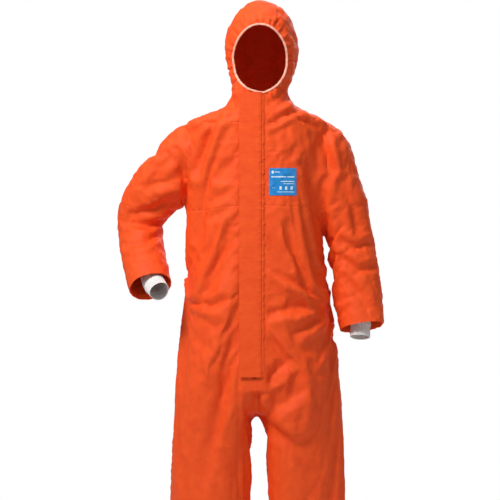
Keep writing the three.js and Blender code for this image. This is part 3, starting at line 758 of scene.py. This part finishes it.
class Finish:
    """A procedural material and short ways to add and join its nodes."""

    def __init__(self, name, rough=0.6, sheen=0.0):
        self.material = bpy.data.materials.new(name)
        self.material.use_nodes = True
        self.nodes = self.material.node_tree.nodes
        self.links = self.material.node_tree.links
        self.shader = self.nodes["Principled BSDF"]
        self.shader.inputs["Roughness"].default_value = rough
        self.shader.inputs["Sheen Weight"].default_value = sheen
        self.place = self.nodes.new("ShaderNodeTexCoord").outputs["Object"]

    def node(self, kind, settings=None, **sockets):
        made = self.nodes.new("ShaderNode" + kind)
        for name, value in (settings or {}).items():
            setattr(made, name, value)
        for name, value in sockets.items():
            key = int(name[1:]) if name[0] == "i" and name[1:].isdigit() else name.replace("_", " ")
            if isinstance(value, bpy.types.NodeSocket):
                self.links.new(value, made.inputs[key])
            else:
                made.inputs[key].default_value = value
        return made

    def maths(self, operation, a, b=0.0, c=0.0, clamp=False):
        made = self.node("Math", {"operation": operation, "use_clamp": clamp}, i0=a, i1=b, i2=c)
        return made.outputs[0]

    def noise(self, scale, detail=2.0, roughness=0.5, vector=None, distortion=0.0):
        made = self.node(
            "TexNoise", Scale=scale, Detail=detail, Roughness=roughness, Distortion=distortion,
            Vector=vector or self.place,
        )
        return made.outputs["Fac"]

    def stretched(self, scale, turn=(0, 0, 0)):
        return self.node("Mapping", Vector=self.place, Scale=scale, Rotation=turn).outputs[0]

    def ramp(self, value, low, high, to_low=0.0, to_high=1.0):
        made = self.node("MapRange", {"clamp": True}, Value=value, From_Min=low, From_Max=high,
                         To_Min=to_low, To_Max=to_high)
        return made.outputs[0]

    def mix(self, amount, a, b, blend="MIX"):
        made = self.node("Mix", {"data_type": "RGBA", "blend_type": blend}, i0=amount, i6=a, i7=b)
        return made.outputs[2]

    def attribute(self, name):
        return self.node("Attribute", {"attribute_name": name}).outputs["Fac"]

    def bump(self, height, strength, distance, under=None):
        made = self.node("Bump", Strength=strength, Distance=distance, Height=height)
        if under:
            self.links.new(under, made.inputs["Normal"])
        return made.outputs[0]

    def finish(self, color, bump=None, rough=None):
        self.links.new(color, self.shader.inputs["Base Color"])
        if bump:
            self.links.new(bump, self.shader.inputs["Normal"])
        if rough:
            self.links.new(rough, self.shader.inputs["Roughness"])
        return self.material


def nonwoven(name, base, deep, pale, seams=True):
    """Spunbond cloth: pressed dots, laid fibres, cloudy thickness and small crush lines."""
    f = Finish(name, rough=0.66)
    f.shader.inputs["Specular IOR Level"].default_value = 0.28
    cloud = f.noise(38, 4, 0.6)
    fibre = f.noise(1, 3, 0.7, f.stretched((260, 260, 1500)), 1.2)
    fibre2 = f.noise(1, 3, 0.7, f.stretched((1500, 900, 240), (0.3, 0.5, 0.4)), 1.0)
    fibres = f.maths("MULTIPLY", f.maths("ADD", fibre, fibre2), 0.5)
    dots = f.node(
        "TexVoronoi", {"feature": "F1", "distance": "EUCLIDEAN"}, Vector=f.place, Scale=620, Randomness=0.25
    ).outputs["Distance"]
    dot = f.ramp(dots, 0.20, 0.42)
    crush = f.noise(62, 5, 0.62, distortion=0.8)
    ridge = f.ramp(f.maths("ABSOLUTE", f.maths("SUBTRACT", crush, 0.5)), 0.0, 0.10)
    color = f.mix(f.ramp(cloud, 0.30, 0.72), deep, base)
    color = f.mix(f.ramp(fibres, 0.50, 0.66, 0, 0.20), color, pale)
    color = f.mix(f.ramp(dot, 0, 1, 0.16, 0.0), color, deep)
    height = f.maths("ADD", f.maths("MULTIPLY", dot, 0.35), f.maths("MULTIPLY", fibres, 0.5))
    bump = f.bump(height, 0.30, 0.0004)
    bump = f.bump(f.maths("ADD", ridge, f.maths("MULTIPLY", cloud, 1.5)), 0.22, 0.0022, bump)
    if seams:
        far = f.attribute("seam")
        line = f.ramp(far, 0.0, 0.0024)
        ridge = f.maths("MULTIPLY", f.ramp(far, 0.0008, 0.0022), f.ramp(far, 0.0065, 0.0045))
        dash = f.ramp(f.noise(1, 0, 0.5, f.stretched((420, 420, 420))), 0.46, 0.54)
        thread_line = f.maths("MULTIPLY", f.ramp(far, 0.0028, 0.0033), f.ramp(far, 0.0046, 0.0040))
        stitch = f.maths("MULTIPLY", thread_line, dash)
        # Painted shade: the colour is darkened toward the deep orange in the seam's groove, most at the seam
        # itself and fading out over 2.4 mm.
        color = f.mix(f.ramp(line, 0, 1, 0.25, 0.0), color, deep)
        color = f.mix(f.maths("MULTIPLY", stitch, 0.3), color, pale)
        height = f.maths("SUBTRACT", f.maths("ADD", line, ridge), f.maths("MULTIPLY", stitch, 0.5))
        bump = f.bump(height, 0.25, 0.0008, bump)
    return f.finish(color, bump, f.ramp(cloud, 0.3, 0.7, 0.58, 0.72))


ORANGE = linear(0.965, 0.340, 0.095)
ORANGE_DEEP = linear(0.930, 0.290, 0.070)
ORANGE_PALE = linear(0.985, 0.430, 0.180)
cloth_finish = nonwoven("orange_nonwoven", ORANGE, ORANGE_DEEP, ORANGE_PALE)


# ---------------------------------------------------------------- the garment as separate panels
REPLACED = {
    "hood_centre_cloth": ["hood_centre"],
    "hood_side_cloth_left": ["hood_side_left"], "hood_side_cloth_right": ["hood_side_right"],
    "neck_cloth_left": ["hood_neck_left"], "neck_cloth_right": ["hood_neck_right"],
    "yoke_cloth_left": ["front_yoke_left"], "yoke_cloth_right": ["front_yoke_right"],
    "front_cloth_left": ["front_body_left", "leg_knee_left", "leg_lower_front_left"],
    "front_cloth_right": ["front_body_right", "leg_knee_right", "leg_lower_front_right"],
    "back_upper_cloth": ["back_upper"],
    "back_lower_cloth_left": ["back_lower_left", "leg_lower_back_left"],
    "back_lower_cloth_right": ["back_lower_right", "leg_lower_back_right"],
    "gusset_cloth": ["crotch_gusset"],
    "sleeve_cloth_left": ["sleeve_upper_left", "sleeve_elbow_left", "sleeve_lower_left"],
    "sleeve_cloth_right": ["sleeve_upper_right", "sleeve_elbow_right", "sleeve_lower_right"],
    "ankle_band_left": ["ankle_hem_left"], "ankle_band_right": ["ankle_hem_right"],
}


def join_to_bodies(piece, name):
    """A panel moves with its body; a hood, neck, face, front, lower back or sleeve panel is left fixed where it
    stands.
    """
    side = name.rsplit("_", 1)[-1]
    if name.startswith(("hood", "neck", "face")):
        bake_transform(piece)
    elif name.startswith(("front_", "back_lower")):
        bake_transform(piece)
    elif name.startswith("sleeve"):
        point, along = ELBOWS[side]
        along = along.normalized()
        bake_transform(piece)
    elif name.startswith("ankle"):
        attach(piece, side + "_shin")
    else:
        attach(piece, "torso")


def shaded_smooth(thing):
    for face in thing.data.polygons:
        face.use_smooth = True


def cloth_piece(name, bm, finish, thickness=0.0007):
    """A piece of cloth with its thickness, turned inwards from the surface."""
    piece = mesh_object(name, bm)
    piece.data.materials.clear()
    piece.data.materials.append(finish)
    wall = piece.modifiers.new("wall", "SOLIDIFY")
    wall.thickness, wall.offset = thickness, -1
    with_modifiers_applied(piece)
    shaded_smooth(piece)
    piece.data.set_sharp_from_angle(angle=math.radians(55))
    return piece


def turned_in_hem(bm, edges, inward, depth):
    """Folds the cloth inwards at a hem."""
    made = bmesh.ops.extrude_edge_only(bm, edges=edges)["geom"]
    ring = [v for v in made if isinstance(v, bmesh.types.BMVert)]
    centre = sum((v.co for v in ring), Vector()) / len(ring)
    for v in ring:
        v.co += inward * 0.001 + (centre - v.co).normalized() * 0.0022
    made = bmesh.ops.extrude_edge_only(
        bm, edges=[e for e in made if isinstance(e, bmesh.types.BMEdge)]
    )["geom"]
    for v in made:
        if isinstance(v, bmesh.types.BMVert):
            v.co += inward * depth + (centre - v.co).normalized() * 0.001


whole = bmesh.new()
whole.from_mesh(garment.data)
face_edge = sorted(
    (
        v.co.copy() for v in whole.verts
        if v.is_boundary and v.co.y < 0.03 and 0.9 < face_reach(v.co) < 1.1
        and not (abs(v.co.x - ZIP_X) < 0.012 and v.co.z - FLOOR < FACE_CENTRE[1])
    ),
    key=face_angle,
)
surface = BVHTree.FromBMesh(whole)
for index, name in enumerate(PANELS):
    bm = whole.copy()
    layer = bm.faces.layers.int["panel"]
    bmesh.ops.delete(bm, geom=[f for f in bm.faces if f[layer] != index], context="FACES")
    if name.startswith("sleeve"):
        point, outward = sleeve_end(name.rsplit("_", 1)[-1])
        hem = [
            e for e in bm.edges
            if e.is_boundary and abs(((e.verts[0].co + e.verts[1].co) / 2 - point).dot(outward)) < 0.04
        ]
        turned_in_hem(bm, hem, -outward, 0.016)
    if name.startswith("ankle"):
        hem = [e for e in bm.edges if e.is_boundary and e.verts[0].co.z - FLOOR < HEM + 0.012]
        turned_in_hem(bm, hem, Vector((0, 0, 1)), 0.010)
    piece = cloth_piece(name, bm, cloth_finish)
    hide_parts(*REPLACED[name])
    join_to_bodies(piece, name)
whole.free()
bpy.data.objects.remove(garment)


# ---------------------------------------------------------------- face binding
def even_points(points, count):
    """The closed line through the points, as evenly spaced points on a smoothed copy."""
    n = len(points)
    soft = [sum((points[(i + k) % n] for k in range(-3, 4)), Vector()) / 7 for i in range(n)]
    lengths = [0.0]
    for i in range(n):
        lengths.append(lengths[-1] + (soft[(i + 1) % n] - soft[i]).length)
    out, i = [], 0
    for k in range(count):
        goal = lengths[-1] * k / count
        while lengths[i + 1] < goal:
            i += 1
        t = (goal - lengths[i]) / max(lengths[i + 1] - lengths[i], 1e-9)
        out.append(soft[i].lerp(soft[(i + 1) % n], t))
    return out


def binding_rings(points, wide, thick):
    """Flat rings along the face edge; the gathered cloth makes the binding swell and pinch."""
    n = len(points)
    middle = sum(points, Vector()) / n
    rings = []
    for k, point in enumerate(points):
        along = (points[(k + 1) % n] - points[k - 1]).normalized()
        out = point - middle
        out = (out - along * out.dot(along)).normalized()
        ahead = along.cross(out)
        swell = 1 + 0.10 * wave(k * 0.82) + 0.05 * wave(k * 2.1, 2)
        centre = point - out * 0.0012 + Vector((0, -0.0008, 0))

        def place(turn, centre=centre, out=out, ahead=ahead, swell=swell):
            reach = out * wide * power(math.cos(turn), 2.6) + ahead * thick * power(math.sin(turn), 2.6)
            return centre + reach * swell
        rings.append(place)
    return rings


def binding_finish():
    f = Finish("salmon_elastic", rough=0.7, sheen=0.2)
    rib = f.noise(1, 2, 0.6, f.stretched((900, 300, 900)), 0.6)
    cloud = f.noise(55, 3, 0.6)
    color = f.mix(f.ramp(cloud, 0.3, 0.7), linear(0.985, 0.640, 0.530), linear(1.0, 0.760, 0.670))
    color = f.mix(f.ramp(rib, 0.45, 0.65, 0, 0.30), color, linear(0.93, 0.47, 0.34))
    return f.finish(color, f.bump(rib, 0.5, 0.0006, f.bump(cloud, 0.4, 0.002)))


bm = bmesh.new()
bridged_rings(bm, binding_rings(even_points(face_edge, 260), 0.0029, 0.0017), 14, "joined")
bmesh.ops.recalc_face_normals(bm, faces=bm.faces)
binding = mesh_object("face_edge_binding", bm)
binding.data.materials.append(binding_finish())
shaded_smooth(binding)
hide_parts("face_binding")
join_to_bodies(binding, "face_edge_binding")


# ---------------------------------------------------------------- knit cuffs
def knit_finish():
    f = Finish("white_rib_knit", rough=0.85, sheen=0.35)
    turn = f.attribute("turn")
    along = f.attribute("along")
    loop = f.maths("ADD", f.maths("MULTIPLY", turn, 150.0), f.maths("MULTIPLY", f.maths(
        "ABSOLUTE", f.maths("SINE", f.maths("MULTIPLY", turn, 75.0))), 1.6))
    rows = f.maths("SINE", f.maths("ADD", f.maths("MULTIPLY", along, 2600.0), loop))
    fuzz = f.noise(900, 3, 0.7)
    color = f.mix(f.ramp(f.noise(70, 3, 0.6), 0.3, 0.7), linear(0.915, 0.905, 0.890), linear(0.975, 0.972, 0.965))
    # Painted shade: the colour darkens toward grey in the low parts of the knit loop pattern, where the bump is
    # lowest.
    color = f.mix(f.ramp(rows, -1, -0.2, 0.30, 0.0), color, linear(0.72, 0.71, 0.70))
    height = f.maths("ADD", f.maths("MULTIPLY", rows, 0.5), fuzz)
    return f.finish(color, f.bump(height, 0.5, 0.0006))


knit = knit_finish()
RIBS = 34
for side in ("left", "right"):
    frames = limb_frames(smooth_rows(CUFFS[side], 0.0022))
    bm = bmesh.new()
    turns = []
    count = len(frames)

    def ring(k, centre, across, deep, wide, thick):
        mouth = k / (count - 1)
        slack = 0.0009 * wave(k * 0.5 + 1) - 0.0016 * math.exp(-(((mouth - 0.72) / 0.10) ** 2))

        def place(turn):
            rib = 0.00075 * math.cos(RIBS * turn)
            size = 1 + (rib + slack + 0.0008 * math.sin(3 * turn + 4 * mouth)) / wide
            return centre + (across * wide * math.cos(turn) + deep * thick * math.sin(turn)) * size * 0.985
        return place

    bridged_rings(bm, [ring(k, *frame) for k, frame in enumerate(frames)], RIBS * 6, "open")
    bmesh.ops.recalc_face_normals(bm, faces=bm.faces)
    turn_layer, along_layer = bm.verts.layers.float.new("turn"), bm.verts.layers.float.new("along")
    start, across, deep = frames[0][0], frames[0][1], frames[0][2]
    way = (frames[-1][0] - start).normalized()
    for v in bm.verts:
        rel = v.co - start
        v[along_layer] = rel.dot(way)
        v[turn_layer] = abs(math.atan2(rel.dot(deep), rel.dot(across)))
    cuff = cloth_piece("knit_cuff_" + side, bm, knit, 0.0015)
    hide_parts("cuff_" + side)
    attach(cuff, side + "_forearm")


# ---------------------------------------------------------------- storm flap and its stitched edge
def stitched(name, lines):
    """The orange cloth with rows of lock stitches at the given places across, in metres."""
    f = Finish(name, rough=0.64)
    f.shader.inputs["Specular IOR Level"].default_value = 0.28
    x, _, z = f.node("SeparateXYZ", Vector=f.place).outputs
    cloud = f.noise(38, 4, 0.6)
    fibre = f.noise(1, 3, 0.7, f.stretched((260, 260, 1500)), 1.2)
    dots = f.node("TexVoronoi", Vector=f.place, Scale=620, Randomness=0.25).outputs["Distance"]
    dot = f.ramp(dots, 0.20, 0.42)
    color = f.mix(f.ramp(cloud, 0.30, 0.72), ORANGE_DEEP, ORANGE)
    color = f.mix(f.ramp(fibre, 0.50, 0.66, 0, 0.20), color, ORANGE_PALE)
    height = f.maths("ADD", f.maths("MULTIPLY", dot, 0.35), f.maths("MULTIPLY", fibre, 0.4))
    bump = f.bump(height, 0.30, 0.0004)
    pucker = f.noise(1, 3, 0.6, f.stretched((60, 60, 170)), 0.5)
    bump = f.bump(f.maths("ADD", pucker, cloud), 0.45, 0.0020, bump)
    if lines:
        wander = f.maths("MULTIPLY", f.maths("SUBTRACT", f.noise(60, 1), 0.5), 0.0012)
        step = f.maths("FRACT", f.maths("MULTIPLY", z, 290.0))
        dash = f.maths("MULTIPLY", f.ramp(step, 0.02, 0.12), f.ramp(step, 0.78, 0.66))
        rows, groove_and_painted_shade = 0.0, 0.0
        for line in lines:
            off = f.maths("ABSOLUTE", f.maths("SUBTRACT", f.maths("ADD", x, wander), line))
            rows = f.maths("MAXIMUM", f.ramp(off, 0.00050, 0.00030), rows)
            groove_and_painted_shade = f.maths("MAXIMUM", f.ramp(off, 0.0022, 0.0), groove_and_painted_shade)
        thread = f.maths("MULTIPLY", rows, dash)
        # Painted shade: the colour is darkened toward the deep orange along the groove beside each stitch row.
        color = f.mix(f.maths("MULTIPLY", groove_and_painted_shade, 0.20), color, ORANGE_DEEP)
        color = f.mix(f.maths("MULTIPLY", thread, 0.45), color, ORANGE_PALE)
        height = f.maths("SUBTRACT", f.maths("MULTIPLY", thread, 0.6), f.maths("MULTIPLY", groove_and_painted_shade, 0.6))
        bump = f.bump(height, 0.3, 0.0007, bump)
    return f.finish(color, bump, f.ramp(cloud, 0.3, 0.7, 0.58, 0.72))


def faced_forward(bm):
    bm.normal_update()
    if sum(f.normal.y for f in bm.faces) > 0:
        bmesh.ops.reverse_faces(bm, faces=bm.faces)


def upright_strip(name, left, right, foot, top, columns, rows, place, finish, thickness):
    """A strip of cloth up the front; the place function gives how far it stands out."""
    bm = bmesh.new()
    bmesh.ops.create_grid(bm, x_segments=columns, y_segments=rows, size=0.5)
    for v in bm.verts:
        u, t = v.co.x + 0.5, v.co.y + 0.5
        x, z, out = place(u, t, left + (right - left) * u, foot + (top - foot) * t)
        v.co = Vector((x, front_line(z) - out, z + FLOOR))
    faced_forward(bm)
    return cloth_piece(name, bm, finish, thickness)


def flap_place(u, t, x, z):
    hang = abs(math.sin(z * 61 + 2 * math.sin(z * 17))) * 0.0006 * (1 - u) ** 2
    pucker = max(0, wave(z / 0.0042, 0.6)) * 0.00055 * math.exp(-(((1 - u) / 0.22) ** 2))
    pucker += max(0, wave(z / 0.0060, 2.0)) * 0.00045 * math.exp(-((u / 0.16) ** 2))
    roll = 0.0004 * math.sin(math.pi * u) + 0.0007 * max(0, noise.noise(Vector((x * 25, 0, z * 14))))
    if t > 0.985 and u < 0.12:
        corner = (0.12 - u) / 0.12 * (t - 0.985) / 0.015
        z -= 0.004 * corner * corner
    edge = 0.0005 * wave(z / 0.011, 1.0) * max(0, 1 - 4 * u)
    sewn_down = 0.0016 * min(1, max(0, u - 0.86) / 0.14) ** 2
    return x + edge, z, 0.0052 - sewn_down + hang + pucker + roll


flap = upright_strip(
    "flap_cloth", FLAP_SEWN_X - FLAP_WIDTH, FLAP_SEWN_X - 0.0003,
    FLAP_FOOT, FLAP_TOP + 0.006, 24, 420, flap_place,
    stitched("flap_nonwoven", [-0.0420, 0.0085]), 0.0013,
)
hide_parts("storm_flap")
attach(flap, "flap")

edge_low, edge_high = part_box("flap_stitched_edge")


BINDING_LAP = 0.0012  # how far the binding tucks under the flap


def edge_place(u, t, x, z):
    pucker = 0.0010 * max(0, wave(z / 0.0036)) * (0.4 + 0.6 * u)
    crown = 0.0006 * math.sin(math.pi * u)
    fade = min(1, 8 * t, 8 * (1 - t))
    out = 0.0020 * (1 - u * u) - 0.0006 * u * u + (pucker + crown) * fade * min(1, 4 * u)
    return x + 0.0010 * wave(z / 0.0075, 1.5) * u, z, out


edge = upright_strip(
    "flap_edge_binding", edge_low[0] - BINDING_LAP, edge_high[0],
    FLAP_FOOT, FLAP_TOP, 10, 460, edge_place,
    stitched("edge_nonwoven", [0.0143, 0.0182]), 0.0010,
)
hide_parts("flap_stitched_edge")
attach(edge, "torso")


# ---------------------------------------------------------------- chest label
def label_finish(name, tint, deep):
    f = Finish(name, rough=0.38)
    weave = f.noise(1, 2, 0.6, f.stretched((1400, 1400, 500)))
    color = f.mix(f.ramp(f.noise(90, 3), 0.35, 0.65), tint, deep)
    return f.finish(color, f.bump(weave, 0.15, 0.0003, f.bump(f.noise(45, 2), 0.2, 0.002)))


# Plain blocks in the place of print, as shares of the label's side: left, right, foot, top.
BARS = [
    (0.10, 0.17, 0.80, 0.90), (0.20, 0.40, 0.835, 0.865), (0.08, 0.62, 0.66, 0.70), (0.66, 0.92, 0.66, 0.70),
    (0.42, 0.92, 0.50, 0.53), (0.52, 0.92, 0.42, 0.44), (0.30, 0.92, 0.12, 0.135),
    (0.10, 0.22, 0.27, 0.28), (0.38, 0.46, 0.21, 0.33), (0.58, 0.66, 0.21, 0.33), (0.78, 0.86, 0.21, 0.33),
]
bm = bmesh.new()
bmesh.ops.create_grid(bm, x_segments=100, y_segments=100, size=0.5)
for v in bm.verts:
    u, t = v.co.x + 0.5, v.co.y + 0.5
    x, z = LABEL[0] + LABEL[2] * u, LABEL[1] + LABEL[2] * t + FLOOR
    outs = []
    for du in (-0.014, -0.007, 0, 0.007, 0.014):
        for dv in (-0.014, -0.007, 0, 0.007, 0.014):
            spot = surface.ray_cast(Vector((x + du, -0.5, z + dv)), Vector((0, 1, 0)))[0]
            outs.append(spot.y if spot else -0.13)
    here = surface.ray_cast(Vector((x, -0.5, z)), Vector((0, 1, 0)))[0].y
    v.co = Vector((x, min(sum(outs) / len(outs) - 0.0006, here - 0.0005), z))
for f in bm.faces:
    centre = f.calc_center_median()
    u, t = (centre.x - LABEL[0]) / LABEL[2], (centre.z - FLOOR - LABEL[1]) / LABEL[2]
    if any(a < u < b and c < t < d for a, b, c, d in BARS):
        f.material_index = 1
faced_forward(bm)
label = mesh_object("label_patch", bm)
label.data.materials.append(label_finish("label_blue", linear(0.125, 0.560, 0.840), linear(0.10, 0.50, 0.79)))
label.data.materials.append(label_finish("label_white", linear(0.90, 0.95, 0.98), linear(0.80, 0.90, 0.96)))
wall = label.modifiers.new("wall", "SOLIDIFY")
wall.thickness, wall.offset = 0.0004, 1
with_modifiers_applied(label)
shaded_smooth(label)
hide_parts("chest_label")
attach(label, "torso")


# ---------------------------------------------------------------- zip
def moulded(name, tint, rough, speckle=300):
    f = Finish(name, rough=rough)
    cloud = f.noise(speckle, 3, 0.6)
    color = f.mix(f.ramp(cloud, 0.3, 0.7), tint, tuple(c * 0.82 for c in tint[:3]) + (1,))
    return f.finish(color, f.bump(cloud, 0.2, 0.0003), f.ramp(cloud, 0.3, 0.7, rough - 0.06, rough + 0.06))


nylon = moulded("orange_nylon", linear(0.86, 0.27, 0.10), 0.42)
PITCH = 0.0016
UP = Vector((0, math.sin(math.atan(LEAN)), math.cos(math.atan(LEAN))))
for side in ("left", "right"):
    low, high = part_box("zip_coil_" + side)
    s = 1 if side == "left" else -1
    inner = abs(ZIP_X - (low[0] if s > 0 else high[0]))
    outer = abs(ZIP_X - (high[0] if s > 0 else low[0]))
    foot_z = low[2] - FLOOR
    height = high[2] - low[2]
    bm = bmesh.new()
    bmesh.ops.create_cube(bm, size=1)
    for v in bm.verts:
        reach = -0.0002 if v.co.x < 0 else outer
        tooth = 0.0007 if v.co.x < 0 else 0.0011
        v.co = Vector((s * reach + ZIP_X, v.co.y * 0.0013, v.co.z * tooth))
    bmesh.ops.recalc_face_normals(bm, faces=bm.faces)
    bmesh.ops.bevel(
        bm, geom=bm.edges[:], offset=0.00022, segments=1, profile=0.5, material=-1, affect="EDGES"
    )
    z = foot_z + (0.0006 if s > 0 else 0.0006 + PITCH / 2)
    bmesh.ops.translate(bm, verts=bm.verts, vec=(0, front_line(z) + 0.00135, z + FLOOR))
    teeth = mesh_object("zip_teeth_" + side, bm)
    teeth.data.materials.append(nylon)
    row = teeth.modifiers.new("row", "ARRAY")
    row.use_relative_offset = False
    row.use_constant_offset = True
    row.constant_offset_displace = UP * PITCH
    row.count = int((height - 0.003) / (PITCH * UP.z))
    with_modifiers_applied(teeth)
    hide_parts("zip_coil_" + side)
    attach(teeth, "torso")


def woven(name, tint, deep, across=1500, up=1500, rough=0.75):
    f = Finish(name, rough=rough, sheen=0.2)
    x, y, z = f.node("SeparateXYZ", Vector=f.place).outputs
    warp = f.maths("SINE", f.maths("MULTIPLY", f.maths("ADD", x, y), float(across)))
    weft = f.maths("SINE", f.maths("MULTIPLY", z, float(up)))
    weave = f.maths("MULTIPLY", warp, weft)
    # Painted shade: the colour runs from the deep tone where the weave's bump is low to the tint where it is
    # high.
    color = f.mix(f.ramp(weave, -1, 1), deep, tint)
    color = f.mix(f.ramp(f.noise(60, 3), 0.4, 0.7, 0, 0.35), color, deep)
    return f.finish(color, f.bump(weave, 0.4, 0.0003))


def give(nodes, finish):
    for name in nodes:
        node = frame["nodes"][name]
        node.data.materials.clear()
        node.data.materials.append(finish)


orange_tape = woven("orange_tape", linear(0.90, 0.28, 0.10), linear(0.78, 0.20, 0.06))
give(["zip_tape_left", "zip_tape_right"], orange_tape)
give(
    ["waist_elastic", "ankle_elastic_left", "ankle_elastic_right"],
    woven("white_elastic", linear(0.93, 0.92, 0.90), linear(0.80, 0.79, 0.76), 2200, 900),
)
give(["zip_top_stop_left", "zip_top_stop_right", "zip_bottom_stop"], nylon)
give(["zip_slider", "zip_puller"], moulded("orange_enamel", linear(0.86, 0.27, 0.10), 0.28, 120))
give(["flap_tape"], moulded("release_paper", linear(0.93, 0.91, 0.84), 0.45, 40))


# ---------------------------------------------------------------- floor, light and camera
def plain_finish(name, tint, rough):
    f = Finish(name, rough=rough)
    color = f.mix(f.ramp(f.noise(3, 2), 0.3, 0.7), tint, tuple(c * 0.985 for c in tint[:3]) + (1,))
    return f.finish(color)


bm = bmesh.new()
bmesh.ops.create_circle(bm, cap_ends=True, segments=96, radius=2.4)
bmesh.ops.translate(bm, verts=bm.verts, vec=(0, 0, FLOOR))
floor = mesh_object("studio_floor", bm)
floor.data.materials.append(plain_finish("pale_floor", (0.86, 0.86, 0.86, 1), 0.8))

world = bpy.data.worlds.new("studio")
bpy.context.scene.world = world
world.use_nodes = True
nodes, links = world.node_tree.nodes, world.node_tree.links
back = nodes["Background"]
back.inputs["Color"].default_value = (1, 1, 1, 1)
back.inputs["Strength"].default_value = 0.30
shown = nodes.new("ShaderNodeBackground")
shown.inputs["Color"].default_value = (1, 1, 1, 1)
shown.inputs["Strength"].default_value = 1.0
path, pick = nodes.new("ShaderNodeLightPath"), nodes.new("ShaderNodeMixShader")
links.new(path.outputs["Is Camera Ray"], pick.inputs[0])
links.new(back.outputs[0], pick.inputs[1])
links.new(shown.outputs[0], pick.inputs[2])
links.new(pick.outputs[0], nodes["World Output"].inputs["Surface"])


def panel_light(name, place, size, power_in_watts, aim, spread=180):
    data = bpy.data.lights.new(name, "AREA")
    data.size, data.energy, data.spread = size, power_in_watts, math.radians(spread)
    lamp = bpy.data.objects.new(name, data)
    lamp.location = place
    lamp.rotation_euler = (Vector(aim) - Vector(place)).to_track_quat("-Z", "Y").to_euler()
    bpy.context.scene.collection.objects.link(lamp)


panel_light("key", (-1.7, -2.1, 2.3), 1.1, 38, (0, 0, 0.1), 95)
panel_light("fill", (2.8, -2.6, 0.9), 1.8, 9, (0, 0, -0.1))
panel_light("top", (0.3, 0.6, 2.6), 1.6, 22, (0, 0, 0))
panel_light("behind", (1.2, 3.6, 1.2), 2.4, 70, (0, 0, -0.4))

CAMERA_AWAY = 11
VIEW_WIDTH = 1.345
camera = bpy.data.objects.new("camera", bpy.data.cameras.new("camera"))
camera.data.sensor_width = 36
camera.data.lens = camera.data.sensor_width * CAMERA_AWAY / VIEW_WIDTH
camera.location = (-0.0188, -CAMERA_AWAY, -0.382)
camera.rotation_euler = (math.radians(90), 0, 0)
camera.data.clip_end = 50
bpy.context.scene.collection.objects.link(camera)
bpy.context.scene.camera = camera
bpy.context.scene.view_settings.view_transform = "Standard"
